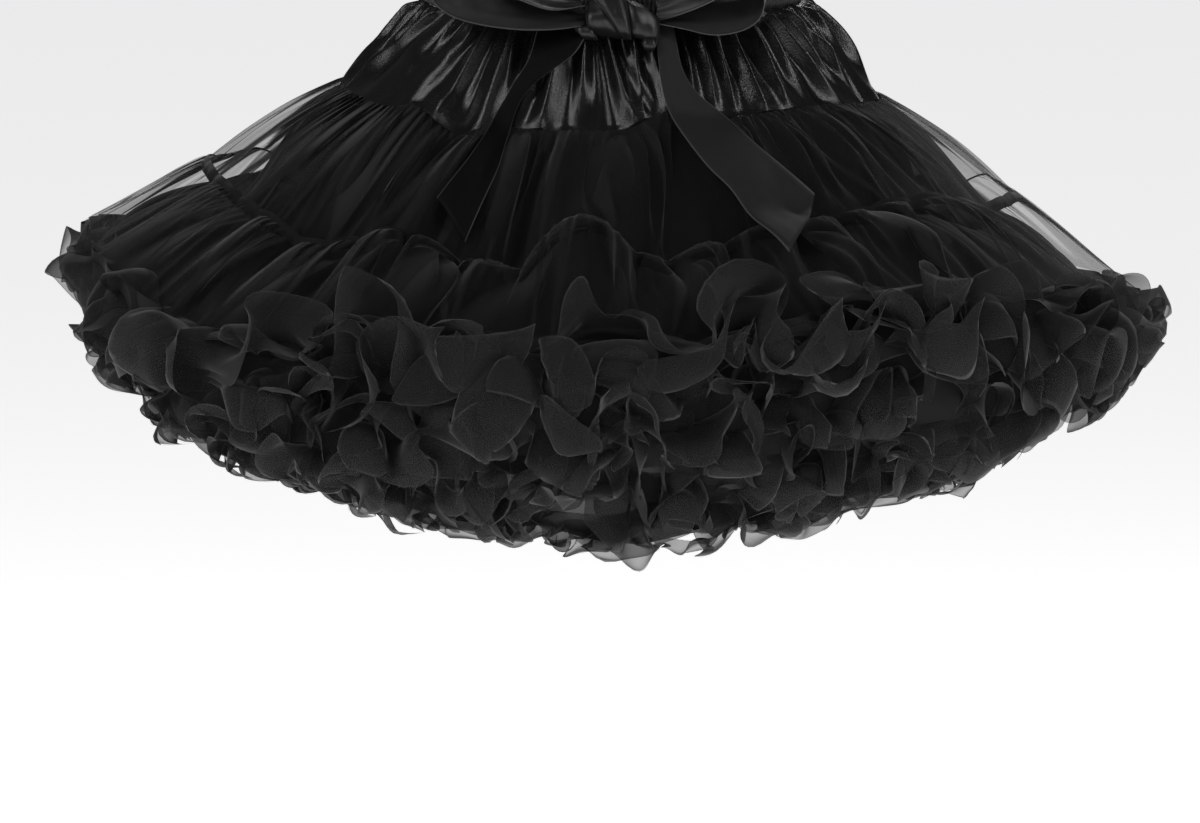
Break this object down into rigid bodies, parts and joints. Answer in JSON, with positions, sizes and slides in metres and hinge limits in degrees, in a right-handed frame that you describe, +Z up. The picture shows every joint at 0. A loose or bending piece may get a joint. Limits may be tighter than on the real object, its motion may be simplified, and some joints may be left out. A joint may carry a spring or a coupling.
{
  "type": "tiered ballet tutu skirt",
  "caption": "Soft tiered net tutu skirt, filled out as worn, with a shirred waistband, gathered satin yoke, layered ruffled hem and a ribbon bow.",
  "frame": {"origin": "middle of the waistband, at half its height, where the wearer's waist holds the skirt", "axes": "+Z up through the waist, -Y the front with the bow, +X to the right as the skirt is seen from the front"},
  "size_m": [0.8679, 0.7974, 0.4381],
  "materials": {
    "satin": "black satin with a soft broad sheen",
    "net": "sheer black net, dull, grey where one layer shows",
    "ribbon": "black ribbon, dull on one face and glossier on the other"
  },
  "bodies": {
    "root": {"waistband": "satin", "yoke_front": "satin", "yoke_back": "satin", "outer_tier_1": "net", "outer_tier_2": "net", "outer_ruffle_upper": "net", "outer_ruffle_hem": "net", "under_tier_1": "net", "under_tier_2": "net", "under_ruffle_upper": "net", "under_ruffle_hem": "net", "bow_knot": "ribbon", "bow_loop_left": "ribbon", "bow_loop_right": "ribbon", "tail_left": "ribbon", "tail_right": "ribbon"}
  },
  "joints": []
}
